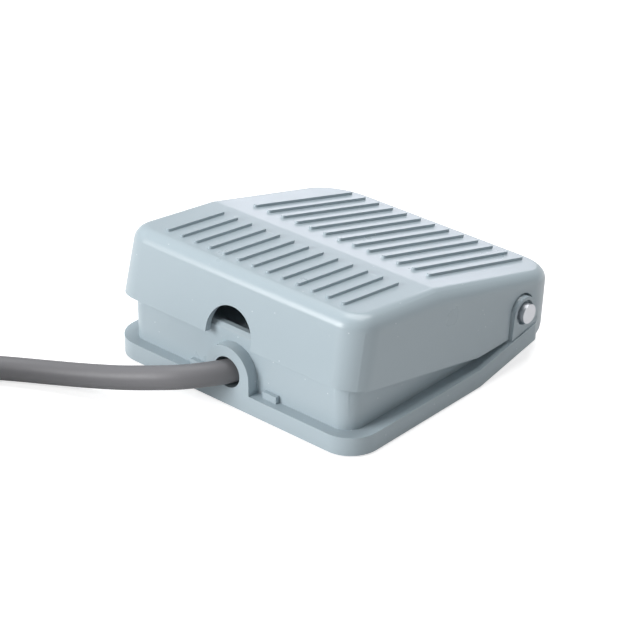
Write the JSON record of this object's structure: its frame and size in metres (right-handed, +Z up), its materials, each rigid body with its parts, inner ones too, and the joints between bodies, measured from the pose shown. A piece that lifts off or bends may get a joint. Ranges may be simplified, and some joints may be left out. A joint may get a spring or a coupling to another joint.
{
  "type": "foot switch",
  "caption": "Small plastic foot switch: ribbed sloping pedal on a cross pin over a tray housing with a lever microswitch inside, and a grey lead in a tied coil with stripped cores.",
  "frame": {"origin": "centre of the foot switch on the floor it stands on, under the middle of its plan", "axes": "+X across the pedal, +Y from the cable side to the hinge side, +Z up"},
  "size_m": [0.1196, 0.1978, 0.0346],
  "materials": {
    "case_plastic": "semi-gloss moulded blue-grey",
    "pedal_plastic": "semi-gloss moulded blue-grey",
    "screw_steel": "zinc plated",
    "foot_rubber": "matte black",
    "pin_steel": "ground bright",
    "clip_steel": "blued spring steel",
    "spring_steel": "drawn wire",
    "switch_plastic": "matte black thermoset",
    "button_plastic": "smooth red",
    "lever_steel": "pressed spring steel",
    "contact_brass": "stamped",
    "clamp_plastic": "matte black nylon",
    "cable_jacket": "satin grey sheath",
    "core_brown": "satin insulation",
    "core_blue": "satin insulation",
    "core_black": "satin insulation",
    "tie_plastic": "matte black nylon",
    "bare_copper": "bare stranded copper"
  },
  "bodies": {
    "base": {"base_tray": "case_plastic", "inner_housing": "case_plastic", "base_screws": "screw_steel", "front_feet": "foot_rubber", "rear_feet": "foot_rubber", "hinge_pin": "pin_steel", "pin_clips": "clip_steel", "return_spring": "spring_steel", "switch_case": "switch_plastic", "switch_cover": "switch_plastic", "com_terminal": "contact_brass", "no_terminal": "contact_brass", "nc_terminal": "contact_brass", "switch_screws": "screw_steel", "cable_clamp": "clamp_plastic", "clamp_screws": "screw_steel", "cable_inside": "cable_jacket", "com_core": "core_brown", "no_core": "core_blue", "nc_core": "core_black", "cable_lead": "cable_jacket", "cable_coil": "cable_jacket", "cable_tail": "cable_jacket", "coil_tie": "tie_plastic", "core_ends": "core_black", "core_strands": "bare_copper"},
    "pedal_body": {"pedal": "pedal_plastic"},
    "lever_body": {"switch_lever": "lever_steel"},
    "button_body": {"switch_button": "button_plastic"},
    "blade_body": {"contact_blade": "contact_brass"}
  },
  "joints": [
    {"name": "pedal_press", "type": "hinge", "parent": "base", "child": "pedal_body", "pos_m": [0, 0.0232, 0.0138], "axis": [1, 0, 0], "range_deg": [0, 4], "stiffness_Nm_per_rad": 4.75, "springref_deg": -4.38, "deforming": ["return_spring"]},
    {"name": "lever_turn", "type": "hinge", "parent": "base", "child": "lever_body", "pos_m": [-0.0099, -0.003, 0.0198], "axis": [0, 1, 0], "range_deg": [0, 6.36]},
    {"name": "button_slide", "type": "slide", "parent": "base", "child": "button_body", "axis": [0, 0, -1], "range_m": [0, 0.00072]},
    {"name": "blade_turn", "type": "hinge", "parent": "base", "child": "blade_body", "pos_m": [-0.0105, -0.003, 0.01105], "axis": [0, 1, 0], "range_deg": [0, 5.76]}
  ],
  "couplings": [
    {"joint": "lever_turn", "follows": "pedal_press", "ratio": 1.5879},
    {"joint": "button_slide", "follows": "pedal_press", "m_per_rad": 0.010223},
    {"joint": "blade_turn", "follows": "pedal_press", "ratio": 1.4351}
  ]
}
